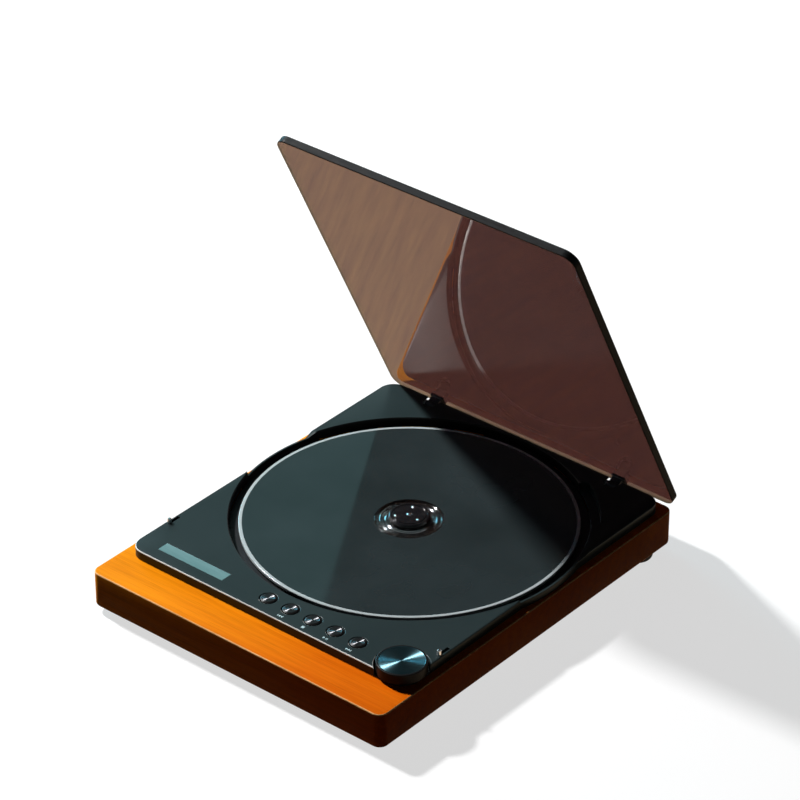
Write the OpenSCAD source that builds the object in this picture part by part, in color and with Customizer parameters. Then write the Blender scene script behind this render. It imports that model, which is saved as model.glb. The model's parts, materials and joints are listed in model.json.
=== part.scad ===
// Wall disc player: wooden plinth, black deck with a round disc well, hinged clear lid.
// Millimetres. X runs right along the front edge, Y runs back to the hinges, Z is up.
// The origin is on the back cover's outer face, under the spindle.

/* [Plinth] */
// Width of the wooden plinth
plinth_w = 131; // [131:1:170]
// Depth of the wooden plinth, front to back
plinth_d = 160; // [156:1:200]
// Thickness of the wooden plinth
plinth_h = 13.8; // [13.8:0.1:20]
// Corner radius of the plinth, seen from above
plinth_r = 3.5; // [3:0.5:10]
// Rounding of the plinth's top edge
plinth_edge = 0.5; // [0.4:0.1:1.2]
// Rounding of the plinth's bottom edge
plinth_foot_edge = 1; // [0.6:0.1:1.8]
// Distance from the spindle to the plinth's back
spindle_to_back = 67; // [67:0.5:80]
// Wall of the plinth beside and behind the cavity
rail_w = 5.5; // [5:0.25:5.5]

/* [Deck] */
// Height of the deck plate above the wood
deck_rise = 3.6; // [3.4:0.1:6]
// Wooden ledge beside the deck
side_ledge = 3.1; // [2.6:0.1:3.4]
// Wooden ledge behind the deck
back_ledge = 2.5; // [2.3:0.1:3]
// Wooden ledge in front of the deck
front_ledge = 15.8; // [12:0.2:16.4]
// Corner radius of the deck
deck_r = 6; // [4:0.5:8]
// Rounding of the deck's top edge
deck_edge = 0.45; // [0.2:0.05:0.7]

/* [Disc and well] */
// Radius of the disc
disc_r = 60; // [40:1:60]
// Thickness of the disc
disc_t = 1.2; // [1.1:0.1:1.4]
// Radius of the disc's centre hole
disc_hole_r = 7.5; // [7.5:0.1:8]
// Gap between the disc's edge and the well's wall
well_gap = 3.5; // [2.5:0.1:3.6]
// Depth of the disc's upper face below the deck
disc_drop = 1.6; // [1.2:0.1:1.8]
// Extra reach of the finger scoop outside the well
scoop_reach = 3.5; // [2:0.1:4]
// First and last angle of the finger scoop, from +X
scoop_angles = [36.5, 56.5]; // [20:70]
// Half the length of a finger notch in the deck's side
notch_half = 16; // [12:0.5:18]
// Drop of the right and the left finger notch
notch_drop = [0.9, 1.6]; // [0.5:0.1:3.2]

/* [Controls] */
// Distance of the knob and the button row from the deck's edges
control_inset = 7.5; // [7.4:0.1:9]
// Radius of the volume knob
knob_r = 8.75; // [7.5:0.05:9]
// Height of the knob above the deck
knob_rise = 1.6; // [1:0.1:1.9]
// Gap between the knob and its cut in the deck
knob_gap = 0.75; // [0.5:0.05:1]
// Radius of the encoder's shaft
encoder_r = 3; // [2:0.1:3]
// Distance between the buttons
button_pitch = 10; // [8:0.5:10]
// Distance from the knob to the last button
button_from_knob = 19; // [17:0.5:20]
// Radius of a push button
button_r = 2.9; // [2.2:0.05:3.1]
// Height of a push button above the deck
button_rise = 0.25; // [0:0.05:0.6]
// Travel of a push button and of the knob
press_travel = 0.5; // [0.2:0.05:0.5]
// Length and width of the display window
window_size = [29.7, 4.7]; // [3:30]
// Distance of the window's centre from the deck's left edge
window_inset = 24.2; // [22:0.1:26]

/* [Lid] */
// Thickness of the lid
lid_t = 3; // [2:0.1:4]
// Overhang of the lid beyond each side of the deck
lid_over = 2.5; // [0:0.1:3.1]
// Gap between the deck and the closed lid
lid_gap = 2.2; // [2:0.1:3]
// Angle of the open lid from closed
lid_open = 63.6; // [0:0.1:69]
// Corner radius of the lid
lid_r = 5; // [3:0.5:8]
// Distance of the hinges from the middle
hinge_x = 41.7; // [36:0.1:43]
// Hinge axis inside the deck's back edge
hinge_inset = 1.85; // [1.8:0.05:2]
// Hinge axis below the deck's top
hinge_drop = 2.4; // [2.3:0.05:2.5]
// Radius of the hinge pins
hinge_pin_r = 0.9; // [0.6:0.05:0.95]
// Radius of the lid's rest pin and switch plunger
rest_pin_r = 0.75; // [0.5:0.05:0.8]

/* [Wall mount and sockets] */
// Distance between the two keyholes
keyhole_pitch = 80; // [60:1:84]
// Radius of a keyhole's round entry
keyhole_r = 4.2; // [3:0.1:4.5]
// Radius of a keyhole's narrow slot
keyhole_slot_r = 2.1; // [1.5:0.1:2.2]
// Radius of the headphone socket's bore
jack_r = 1.8; // [1.8:0.05:1.85]
// Height of the rubber feet
foot_h = 2.5; // [1:0.1:4]
// Radius of the rubber feet
foot_r = 6; // [4:0.5:6]

/* [Pickup] */
// Radius on the disc at which the pickup rests
pickup_home = 24; // [23:0.5:26]
// Travel of the pickup
pickup_travel = 34; // [20:0.5:34]
// Radius of the guide rods
rod_r = 1.25; // [1:0.05:1.5]
// Radius of the lead screw
screw_r = 1.5; // [1.2:0.05:1.6]

/* [Hidden] */
$fn = 64;

// Clearances that the fits share
run_gap = 0.05;
fit_gap = 0.02;
slide_gap = 0.25;
seat_gap = 0.1;
cut = 0.5;

// Plinth and its cavity
back_y = spindle_to_back;
front_y = back_y - plinth_d;
mid_y = (back_y + front_y) / 2;
cavity_x = plinth_w / 2 - rail_w;
cavity_back = back_y - rail_w;
cavity_front = front_y + front_ledge + 1.2;
cover_t = 1.2;
cover_lip = 3.5;
cover_gap = 0.15;

// Deck
deck_top = plinth_h + deck_rise;
deck_w = plinth_w - 2 * side_ledge;
deck_back = back_y - back_ledge;
deck_front = front_y + front_ledge;
deck_d = deck_back - deck_front;
deck_mid = (deck_back + deck_front) / 2;
deck_skin = 1.6;

// Disc and well
well_r = disc_r + well_gap;
lip_t = 0.8;
disc_z = deck_top - disc_drop - disc_t;
floor_t = 1.2;
floor_z = plinth_h - 1.4;
floor_r = well_r - 0.1;
floor_tab_r = well_r + 2.4;
floor_tab_at = [for (a = [-45, -135, 62, 118]) floor_tab_r * [cos(a), sin(a)]];
scoop_floor = plinth_h + 0.6;
scoop_end_r = 2.5;

// Controls
knob_x = deck_w / 2 - control_inset;
control_y = deck_front + control_inset;
knob_floor = plinth_h + 0.6;
window_x = -deck_w / 2 + window_inset;
window_t = 0.8;
window_rim = 0.6;
module_size = [window_size[0] + 0.8, window_size[1] + 1.3, 1.4];
flange_r = button_r + 0.9;
flange_t = 0.8;
button_skin = deck_top - deck_skin;
button_stem_r = 1.6;
board_z = 5.6;
board_t = 1.4;
switch_h = 3.6;
encoder_size = 10;
encoder_top = board_z + board_t + 5.6;

// Hinges, in the deck's frame
hinge_y = deck_back - hinge_inset;
hinge_z = deck_top - hinge_drop;
lid_w = deck_w + 2 * lid_over;
lid_h = hinge_drop + lid_gap;
lid_tail = back_ledge + hinge_inset;
lid_reach = hinge_y - deck_front + 0.3;
arm_w = 4.4;
knuckle_r = 1.9;
ear_r = 1.7;
ear_t = 1.2;
ear_gap = 0.25;
notch_r = 2.9;
pad_t = 1;
pad_tail = 2.15;

// Lid rests
pin_x = deck_w / 2 - 1.4;
pin_y = deck_front + 19.6;
pin_top = deck_top + lid_gap - 0.2;
groove_w = 1.2;
groove_end = pin_y + 5;

// Mechanism
chassis_z = 3.2;
chassis_t = 1;
chassis_half = 35;
chassis_back = 20;
rod_x = 16;
rod_z = 7.6;
screw_x = 24.5;
journal_r = 0.8;
pickup_half = 6;
chassis_front = -(pickup_home + pickup_travel + pickup_half + 2);
tab_t = 1;
tab_front = chassis_front + 0.4;
tab_back = -14.9;
motor_r = 12;
motor_top = 9;
shaft_r = 1;
sled_y = -19;
sled_len = 10;
slot_half = 6;
lens_half = 3.6;
slot_front = -(pickup_home + pickup_travel + lens_half + 0.8);
hub_flange_r = 14;
hub_r = disc_hole_r - 0.08;
hub_top = deck_top + 0.3;
hub_ball_r = 1;
hub_ball_at = 4.7;
hub_ball_angles = [-9, 111, 231];
damper_at = [[-30, -52], [30, -52], [-30, 14], [30, 14]];
damper_r = 3.2;
damper_waist = 2.2;

// Screw places
boss_r = 3.2;
through_r = 1.2;
through_at = [
    [-(cavity_x - 5.5), cavity_back - 5.5],
    [cavity_x - 5.5, cavity_back - 5.5],
    [-(cavity_x - 3.5), cavity_front + 5.2],
    [knob_x - 11.9, cavity_front + 4.5]
];
wood_screw_r = 0.9;
wood_screw_at = [
    [-(cavity_x + 1.9), -30], [cavity_x + 1.9, -30],
    [-(cavity_x + 1.9), 14], [cavity_x + 1.9, 14],
    [-30, cavity_front - 1.9], [30, cavity_front - 1.9],
    [-20, cavity_back + 1.8], [20, cavity_back + 1.8]
];
foot_seat = 0.3;
back_foot_x = plinth_w / 2 - foot_r - 1;
front_foot_x = plinth_w / 2 - foot_r - 5;
foot_at = [
    [-front_foot_x, front_y + 21.5], [front_foot_x, front_y + 21.5],
    [-back_foot_x, back_y - 12], [back_foot_x, back_y - 12]
];

// Main board and what stands on it
main_half = cavity_x - 4;
main_front = 24;
main_back = 52;
main_z = 4;
main_t = 1.6;
main_post_at = [for (y = [27.2, 49], s = [-1, 1]) [s * (main_half - 5), y]];
main_post_r = 2;
board_screw_r = 0.9;
jack_y = 41;
jack_z = main_z + main_t + 2.7;
jack_len = 12.3;
socket_face = -plinth_w / 2 + 0.2;
jack_barrel_r = 3;
usb_y = 31;
usb_z = main_z + main_t + 1.7;
usb_size = [9, 3.2];
usb_wall = 0.35;
usb_len = 11;
control_post_at = [[-46, cavity_front + 5], [-14, cavity_front + 5]];
keyhole_y = 36;
keyhole_run = 8;

// A flat outline with round corners, in the place of a box from (x0, y0) to (x1, y1)
module round_rect(x0, y0, x1, y1, r) {
    union() {
        translate([x0 + r, y0]) square([x1 - x0 - 2 * r, y1 - y0]);
        translate([x0, y0 + r]) square([x1 - x0, y1 - y0 - 2 * r]);
        for (x = [x0 + r, x1 - r], y = [y0 + r, y1 - r])
            translate([x, y]) circle(r);
    }
}

// A slab with round corners whose top and bottom edges are rounded, as stacked outlines
module soft_slab(w, d, h, r, top_edge, bottom_edge, steps = 4, turns = 12) {
    layers = concat(
        [for (i = [0:steps]) bottom_edge * [1 - sin(90 * i / steps), 1 - cos(90 * i / steps)]],
        [for (i = [0:steps]) [top_edge * (1 - cos(90 * i / steps)), h - top_edge * (1 - sin(90 * i / steps))]]
    );
    quarters = [[1, 1], [-1, 1], [-1, -1], [1, -1]];
    n = 4 * (turns + 1);
    points = [for (l = layers, q = [0:3], k = [0:turns]) let (a = 90 * (q + k / turns)) [
        quarters[q][0] * (w / 2 - r) + (r - l[0]) * cos(a),
        quarters[q][1] * (d / 2 - r) + (r - l[0]) * sin(a),
        l[1]
    ]];
    last = len(layers) - 1;
    polyhedron(points, concat(
        [[for (k = [0:n - 1]) k]],
        [[for (k = [0:n - 1]) last * n + n - 1 - k]],
        [for (j = [0:last - 1], k = [0:n - 1])
            [j * n + k, (j + 1) * n + k, (j + 1) * n + (k + 1) % n, j * n + (k + 1) % n]]
    ));
}

module at_each(places) {
    for (p = places) translate([p[0], p[1], 0]) children();
}

module tube(r_out, r_in, h) {
    difference() {
        cylinder(r = r_out, h = h);
        translate([0, 0, -cut]) cylinder(r = r_in, h = h + 2 * cut);
    }
}

// Plinth, back and feet

module wood_plinth() {
    color([0.62, 0.27, 0.08])
    difference() {
        translate([0, mid_y, 0])
            soft_slab(plinth_w, plinth_d, plinth_h, plinth_r, plinth_edge, plinth_foot_edge);
        translate([0, 0, -cut]) linear_extrude(plinth_h + 2 * cut)
            round_rect(-cavity_x, cavity_front, cavity_x, cavity_back, 1.5);
        translate([0, 0, -cut]) linear_extrude(cover_t + cut)
            round_rect(-cavity_x - cover_lip, cavity_front - cover_lip,
                       cavity_x + cover_lip, cavity_back + cover_lip, 3);
        translate([0, 0, floor_z]) cylinder(r = well_r + 0.1, h = deck_rise, $fn = 128);
        for (s = [-1, 1])
            translate([s * hinge_x - 6.3, cavity_back - cut, plinth_h - 1.4])
                cube([12.6, deck_back + 0.1 - cavity_back + cut, 3]);
        translate([-pin_x - 1.8, pin_y - 3.4, 7.2]) cube([3.8, 6.8, plinth_h]);
        translate([0, jack_y, jack_z]) rotate([0, -90, 0]) cylinder(r = jack_barrel_r + 0.1, h = plinth_w);
        translate([0, usb_y, usb_z]) rotate([90, 0, -90])
            linear_extrude(plinth_w) stadium(usb_size[0] + 0.3, usb_size[1] + 0.3);
        at_each(wood_screw_at) cylinder(r = wood_screw_r + fit_gap, h = 8.2);
        foot_seats();
    }
}

module foot_seats() {
    at_each(foot_at) translate([0, 0, -cut]) cylinder(r = foot_r + seat_gap, h = foot_seat + cut);
}

// A slot outline centred on the origin, w across and h high
module stadium(w, h) {
    union() {
        square([w - h, h], center = true);
        for (s = [-1, 1]) translate([s * (w - h) / 2, 0]) circle(h / 2);
    }
}

module keyhole() {
    translate([0, 0, -cut]) cylinder(r = keyhole_r, h = cover_t + 2 * cut);
    translate([-keyhole_slot_r, 0, -cut]) cube([2 * keyhole_slot_r, keyhole_run, cover_t + 2 * cut]);
    translate([0, keyhole_run, -cut]) cylinder(r = keyhole_slot_r, h = cover_t + 2 * cut);
}

module back_cover() {
    color([0.16, 0.16, 0.17])
    difference() {
        union() {
            linear_extrude(cover_t - 0.05)
                round_rect(-cavity_x - cover_lip + cover_gap, cavity_front - cover_lip + cover_gap,
                           cavity_x + cover_lip - cover_gap, cavity_back + cover_lip - cover_gap, 2.9);
            at_each(through_at) cylinder(r = boss_r, h = plinth_h - 0.05);
            at_each(main_post_at) cylinder(r = main_post_r, h = main_z);
            at_each(control_post_at) cylinder(r = main_post_r, h = board_z);
            translate([through_at[3][0], through_at[3][1], 0]) cylinder(r = boss_r + 0.9, h = board_z);
        }
        for (s = [-1, 1]) translate([s * keyhole_pitch / 2, keyhole_y, 0]) keyhole();
        at_each(through_at) {
            translate([0, 0, -cut]) cylinder(r = 2.6, h = 1.5 + cut);
            cylinder(r = through_r + run_gap, h = plinth_h);
        }
        at_each(concat(main_post_at, control_post_at)) translate([0, 0, cover_t])
            cylinder(r = board_screw_r + fit_gap, h = board_z);
        at_each(wood_screw_at) {
            translate([0, 0, -cut]) cylinder(r = 1.45, h = 0.8 + cut);
            cylinder(r = wood_screw_r + run_gap, h = 2 * cover_t);
        }
        foot_seats();
    }
}

module rubber_feet() {
    color([0.05, 0.05, 0.05])
    at_each(foot_at) translate([0, 0, -foot_h]) {
        cylinder(r1 = foot_r - 0.5, r2 = foot_r, h = 0.6);
        translate([0, 0, 0.6]) cylinder(r = foot_r, h = foot_h + foot_seat - fit_gap - 0.6);
    }
}

module through_screws() {
    color([0.6, 0.6, 0.62])
    at_each(through_at) difference() {
        union() {
            translate([0, 0, foot_seat + 0.1]) cylinder(r = 2.5, h = 1.4 - foot_seat);
            translate([0, 0, 1.4]) cylinder(r = through_r, h = deck_top - 0.9 - 1.4);
        }
        translate([0, 0, foot_seat - 0.1]) cylinder(r = 1.1, h = 0.9, $fn = 6);
    }
}

module cover_screws() {
    color([0.6, 0.6, 0.62])
    at_each(wood_screw_at) {
        translate([0, 0, 0.1]) cylinder(r = 1.4, h = 0.7);
        translate([0, 0, 0.7]) cylinder(r = wood_screw_r, h = 7.3);
    }
}

// Deck plate and what is set into it

module scoop(z, h) {
    r = well_r + scoop_reach;
    a0 = scoop_angles[0];
    a1 = scoop_angles[1];
    translate([0, 0, z]) {
        linear_extrude(h) intersection() {
            circle(r, $fn = 128);
            polygon([[0, 0], [2 * r * cos(a0), 2 * r * sin(a0)], [2 * r * cos(a1), 2 * r * sin(a1)]]);
        }
        for (a = [a0, a1]) rotate([0, 0, a])
            translate([r - scoop_end_r, 0, 0]) cylinder(r = scoop_end_r, h = h);
    }
}

// The right notch has a ramp at its back end, where it meets the scoop
module finger_notch(side) {
    drop = side > 0 ? notch_drop[0] : notch_drop[1];
    ramp = side > 0 ? 7 : 4;
    x0 = well_r - 5;
    translate([side > 0 ? x0 : -x0, 0, 0]) rotate([90, 0, side > 0 ? 90 : -90])
        linear_extrude(10) polygon([
            [-side * (notch_half + 0.2), deck_top + cut],
            [-side * notch_half, deck_top - drop],
            [side * notch_half, deck_top - drop],
            [side * (notch_half + ramp), deck_top],
            [side * (notch_half + ramp), deck_top + cut]
        ]);
}

module deck_plate() {
    color([0.07, 0.075, 0.085])
    difference() {
        union() {
            translate([0, deck_mid, plinth_h])
                soft_slab(deck_w, deck_d, deck_rise, deck_r, deck_edge, 0.05);
            translate([0, 0, plinth_h]) cylinder(r = well_r + lip_t, h = deck_rise, $fn = 128);
        }
        translate([0, 0, plinth_h - cut]) cylinder(r = well_r, h = deck_rise + 2 * cut, $fn = 128);
        translate([0, 0, deck_top - 0.3]) cylinder(r1 = well_r, r2 = well_r + 0.4, h = 0.4, $fn = 128);
        scoop(scoop_floor, deck_rise);
        finger_notch(1);
        finger_notch(-1);
        for (x = button_xs()) translate([x, control_y, 0]) button_hole();
        knob_cut();
        window_cut();
        for (s = [-1, 1]) {
            translate([s * hinge_x, 0, 0]) hinge_cut();
            translate([s * pin_x - groove_w / 2, pin_y, deck_top - 1])
                cube([groove_w, groove_end - pin_y, 2]);
        }
        translate([pin_x, pin_y, plinth_h + 0.8]) cylinder(r = rest_pin_r + fit_gap, h = deck_rise);
        translate([-pin_x, pin_y, plinth_h - cut])
            cylinder(r = rest_pin_r + run_gap, h = deck_rise + 2 * cut);
        at_each(through_at) translate([0, 0, plinth_h - cut])
            cylinder(r = through_r + fit_gap, h = deck_rise - 0.8 + cut);
        at_each(concat(hinge_screw_at(), floor_tab_at)) translate([0, 0, plinth_h - cut])
            cylinder(r = board_screw_r + fit_gap, h = deck_rise - 0.9 + cut);
    }
}

function button_xs() = [for (i = [4:-1:0]) knob_x - button_from_knob - i * button_pitch];
function hinge_screw_at() = [
    for (s = [-1, 1], t = [-1, 1]) [s * hinge_x + t * 4.2, hinge_y - 4.4]
];

module button_hole() {
    translate([0, 0, plinth_h - cut]) cylinder(r = button_r + slide_gap, h = deck_rise + 2 * cut);
    translate([0, 0, plinth_h - cut]) cylinder(r = flange_r + slide_gap, h = deck_rise - deck_skin + cut);
    translate([0, 0, deck_top - 0.25])
        cylinder(r1 = button_r + slide_gap, r2 = button_r + slide_gap + 0.5, h = 0.5);
}

// The knob's seat: the corner outside its shaft keeps a thin round pad
module knob_cut() {
    translate([knob_x, control_y, 0]) {
        translate([0, 0, knob_floor]) cylinder(r = knob_r + knob_gap, h = deck_rise, $fn = 96);
        translate([0, 0, deck_top - 0.3])
            cylinder(r1 = knob_r + knob_gap, r2 = knob_r + knob_gap + 0.6, h = 0.6, $fn = 96);
        translate([0, 0, plinth_h - cut]) cylinder(r = encoder_r + 0.4, h = 2);
        difference() {
            translate([0, -control_inset - 1, plinth_h - cut])
                cube([control_inset + 1, control_inset + 1, 2]);
            translate([0, 0, plinth_h - 2 * cut]) cylinder(r = control_inset, h = 4);
        }
    }
}

module window_cut() {
    w = window_size[0];
    d = window_size[1];
    translate([window_x, control_y, 0]) {
        translate([-w / 2 - 0.05, -d / 2 - 0.05, deck_top - window_t]) cube([w + 0.1, d + 0.1, 2]);
        translate([-w / 2 + window_rim, -d / 2 + window_rim, plinth_h - cut])
            cube([w - 2 * window_rim, d - 2 * window_rim, deck_rise + 2 * cut]);
        translate([-module_size[0] / 2 - 0.2, -module_size[1] / 2 - 0.2, plinth_h - cut])
            cube([module_size[0] + 0.4, module_size[1] + 0.4, deck_rise - deck_skin + cut]);
    }
}

module hinge_cut() {
    far = deck_back + 4;
    translate([0, hinge_y - 0.6, plinth_h - cut]) cylinder(r = notch_r, h = deck_rise + 2 * cut);
    translate([-notch_r, hinge_y - 0.6, plinth_h - cut])
        cube([2 * notch_r, far - hinge_y, deck_rise + 2 * cut]);
    ears = arm_w / 2 + ear_gap + ear_t + 0.25;
    translate([-ears, hinge_y - ear_r - 0.3, plinth_h - cut])
        cube([2 * ears, far - hinge_y, deck_rise - 0.55 + cut]);
}

// The floor under the disc, with four tabs that the deck's screws hold
module disc_well() {
    color([0.05, 0.052, 0.06])
    difference() {
        union() {
            translate([0, 0, floor_z]) cylinder(r = floor_r, h = floor_t, $fn = 128);
            at_each(floor_tab_at) translate([0, 0, floor_z]) cylinder(r = 3, h = floor_t + 0.1);
            for (p = floor_tab_at) rotate([0, 0, atan2(p[1], p[0])])
                translate([floor_tab_r - 6, -3, floor_z]) cube([6, 6, floor_t]);
            at_each(damper_at) translate([0, 0, 6.3]) cylinder(r = 1.9, h = floor_z - 6.3 + 0.1);
        }
        translate([0, 0, floor_z - cut]) cylinder(r = hub_flange_r + 1.2, h = 3, $fn = 96);
        translate([-slot_half, slot_front, floor_z - cut]) cube([2 * slot_half, -slot_front, 3]);
        at_each(damper_at) translate([0, 0, 5]) cylinder(r = board_screw_r + fit_gap, h = 4.3);
        at_each(floor_tab_at) translate([0, 0, floor_z - cut]) cylinder(r = board_screw_r + 0.1, h = 3);
    }
}

module floor_screws() {
    color([0.6, 0.6, 0.62])
    at_each(floor_tab_at) {
        translate([0, 0, floor_z - 0.9]) cylinder(r = 1.7, h = 0.85);
        translate([0, 0, floor_z - 0.1]) cylinder(r = board_screw_r, h = 3.9);
    }
}

module display_window() {
    color([0.45, 0.58, 0.6])
    translate([window_x - window_size[0] / 2, control_y - window_size[1] / 2, deck_top - window_t + 0.02])
        cube([window_size[0], window_size[1], window_t - 0.04]);
}

module display_module() {
    color([0.1, 0.12, 0.12])
    translate([window_x - module_size[0] / 2, control_y - module_size[1] / 2,
               deck_top - deck_skin - module_size[2] - seat_gap])
        cube(module_size);
}

// Disc drive

module traverse_chassis() {
    color([0.72, 0.73, 0.75])
    difference() {
        union() {
            translate([-chassis_half, chassis_front, chassis_z])
                cube([2 * chassis_half, chassis_back - chassis_front, chassis_t]);
            translate([-rod_x - 4, tab_front, chassis_z]) cube([rod_x + 4 + screw_x + 3, tab_t, 6.6]);
            translate([-rod_x - 4, tab_back, chassis_z]) cube([2 * rod_x - 6, tab_t, 6.6]);
            translate([rod_x - 2.6, tab_back, chassis_z]) cube([5.2, tab_t, 6.6]);
        }
        at_each(damper_at) cylinder(r = damper_waist + run_gap, h = 8);
        for (s = [-1, 1]) translate([s * rod_x, tab_front - 1, rod_z]) rotate([-90, 0, 0])
            cylinder(r = rod_r + fit_gap, h = tab_back - tab_front + 3);
        translate([screw_x, tab_front - 1, rod_z]) rotate([-90, 0, 0])
            cylinder(r = journal_r + run_gap, h = 3);
        translate([-14, -58, 0]) cube([28, 40, 8]);
    }
}

module chassis_dampers() {
    color([0.1, 0.1, 0.11])
    at_each(damper_at) difference() {
        union() {
            translate([0, 0, chassis_z - 0.8]) cylinder(r = damper_r, h = 0.8);
            translate([0, 0, chassis_z - 0.4]) cylinder(r = damper_waist, h = chassis_t + 0.8);
            translate([0, 0, chassis_z + chassis_t]) cylinder(r = damper_r, h = 2);
        }
        cylinder(r = board_screw_r + 0.15, h = 8);
    }
}

module damper_screws() {
    color([0.6, 0.6, 0.62])
    at_each(damper_at) {
        translate([0, 0, chassis_z - 1.6]) cylinder(r = 2, h = 0.75);
        translate([0, 0, chassis_z - 0.9]) cylinder(r = board_screw_r, h = 6.4);
    }
}

module spindle_motor() {
    color([0.78, 0.78, 0.8])
    difference() {
        union() {
            translate([0, 0, chassis_z + chassis_t])
                cylinder(r = motor_r, h = motor_top - chassis_z - chassis_t, $fn = 96);
            cylinder(r = 3, h = motor_top + 1);
        }
        translate([0, 0, -cut]) cylinder(r = 4, h = chassis_z + chassis_t + cut);
        translate([0, 0, chassis_z + chassis_t + 0.4]) cylinder(r = shaft_r + run_gap, h = 10);
    }
}

module guide_rods() {
    color([0.85, 0.85, 0.87])
    for (s = [-1, 1]) translate([s * rod_x, tab_front + 0.05, rod_z]) rotate([-90, 0, 0])
        cylinder(r = rod_r, h = tab_back + tab_t - tab_front - 0.1);
}

module sled_motor() {
    color([0.7, 0.7, 0.72])
    difference() {
        translate([screw_x - 5, sled_y, chassis_z + chassis_t]) cube([10, sled_len, 7.2]);
        translate([screw_x, sled_y - 1, rod_z]) rotate([-90, 0, 0])
            cylinder(r = journal_r + run_gap, h = sled_len - 1);
    }
}

// Ring grooves stand for the thread; the turn per millimetre is in the joints
module lead_screw() {
    core = screw_r - 0.35;
    ring = [[screw_r, 0], [screw_r, 0.7], [core, 0.9], [core, 1.3]];
    back = -sled_y;
    front = -tab_front - tab_t;
    color([0.82, 0.78, 0.6])
    translate([screw_x, 0, rod_z]) rotate([90, 0, 0]) rotate_extrude() polygon(concat(
        [[0, back - 8], [journal_r, back - 8], [journal_r, back + 0.5]],
        [for (y = [back + 1:1.5:front - 1.8], p = ring) [p[0], y + p[1]]],
        [[journal_r, front - 0.3], [journal_r, front + 0.8], [0, front + 0.8]]
    ));
}

module optical_pickup() {
    color([0.55, 0.56, 0.58])
    translate([0, -pickup_home, 0]) difference() {
        union() {
            translate([-rod_x - 2.5, -pickup_half, 6]) cube([2 * rod_x + 5, 2 * pickup_half, 3.3]);
            translate([-8, -pickup_half, 9]) cube([16, 2 * pickup_half, 3]);
            translate([rod_x - 1, -3, 9]) cube([3.5, 6, 1.4]);
            translate([rod_x + 2, -3, 9.4]) cube([screw_x + screw_r - rod_x - 1, 6, 1]);
            translate([screw_x + screw_r + 0.2, -3, 6.6]) cube([0.9, 6, 3.2]);
        }
        for (s = [-1, 1]) translate([s * rod_x, -pickup_half - 1, rod_z]) rotate([-90, 0, 0])
            cylinder(r = rod_r + run_gap, h = 2 * pickup_half + 2);
        translate([-4.5, -4.1, 10.6]) cube([9, 8.2, 4]);
        translate([-5, -3, 5]) cube([10, 6, 2.6]);
    }
}

module lens_carrier() {
    color([0.08, 0.08, 0.09])
    translate([0, -pickup_home, 0]) difference() {
        translate([-4, -lens_half, 11.4]) cube([8, 2 * lens_half, 1.6]);
        translate([0, 0, 11]) cylinder(r = 2 + fit_gap, h = 3);
    }
}

module objective_lens() {
    color([0.5, 0.7, 0.9, 0.6])
    translate([0, -pickup_home, 11.6]) {
        cylinder(r = 2, h = 1.1);
        intersection() {
            translate([0, 0, -2.5]) sphere(r = 4.2);
            translate([0, 0, 1]) cylinder(r = 2, h = 2);
        }
    }
}

// Turntable and disc

module spindle_shaft() {
    color([0.88, 0.88, 0.9])
    translate([0, 0, chassis_z + chassis_t + 0.5]) {
        cylinder(r = shaft_r, h = hub_top - 0.6 - chassis_z - chassis_t);
        translate([0, 0, hub_top - 0.6 - chassis_z - chassis_t]) cylinder(r1 = shaft_r, r2 = 0.6, h = 0.3);
    }
}

module turntable_hub() {
    color([0.06, 0.06, 0.07])
    difference() {
        union() {
            translate([0, 0, 10.6]) cylinder(r = 4, h = disc_z - 10.6);
            translate([0, 0, disc_z - 0.7]) cylinder(r = hub_flange_r, h = 0.65, $fn = 96);
            translate([0, 0, disc_z - 0.1]) cylinder(r = hub_r, h = hub_top - 0.8 - disc_z + 0.1, $fn = 96);
            translate([0, 0, hub_top - 0.8]) cylinder(r1 = hub_r, r2 = hub_r - 0.5, h = 0.8, $fn = 96);
        }
        translate([0, 0, 10]) cylinder(r = shaft_r + fit_gap, h = 10);
        for (a = hub_ball_angles) rotate([0, 0, a])
            translate([hub_ball_at, 0, hub_top - 1.8]) cylinder(r = hub_ball_r + 0.06, h = 3, $fn = 48);
        translate([0, 0, hub_top - 0.35]) tube(hub_r - 1.2, hub_r - 1.6, 1, $fn = 96);
    }
}

module hub_balls() {
    color([0.9, 0.9, 0.92])
    for (a = hub_ball_angles) rotate([0, 0, a])
        translate([hub_ball_at, 0, hub_top - 0.75]) sphere(r = hub_ball_r, $fn = 48);
}

module compact_disc() {
    color([0.3, 0.32, 0.34])
    translate([0, 0, disc_z]) rotate_extrude($fn = 128) polygon([
        [disc_hole_r, 0], [16.6, 0], [16.6, -0.15], [17.4, -0.15], [17.4, 0],
        [disc_r - 0.2, 0], [disc_r, 0.2], [disc_r, disc_t - 0.2], [disc_r - 0.2, disc_t],
        [disc_hole_r, disc_t]
    ]);
}

// Electronics

module main_board() {
    color([0.05, 0.25, 0.15])
    difference() {
        translate([0, 0, main_z]) linear_extrude(main_t)
            round_rect(-main_half, main_front, main_half, main_back, 2);
        at_each(main_post_at) cylinder(r = board_screw_r + 0.2, h = 8);
    }
}

module board_chips() {
    color([0.09, 0.09, 0.1])
    translate([0, 0, main_z + main_t + 0.02]) {
        translate([-24, 32, 0]) cube([14, 14, 1.4]);
        translate([2, 34, 0]) cube([9, 9, 1.2]);
        translate([20, 30, 0]) cube([7, 10, 1.1]);
        translate([36, 41, 0]) cube([8, 6, 4]);
        translate([-44, 46, 0]) cube([6, 4, 2.2]);
        translate([30, 44, 0]) cylinder(r = 2.5, h = 5.4);
        translate([-34, 38, 0]) cylinder(r = 2.5, h = 5.4);
    }
}

module board_screw(top) {
    translate([0, 0, cover_t + 0.5]) cylinder(r = board_screw_r, h = top - cover_t);
    translate([0, 0, top + 0.02]) cylinder(r = 1.8, h = 1);
}

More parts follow.
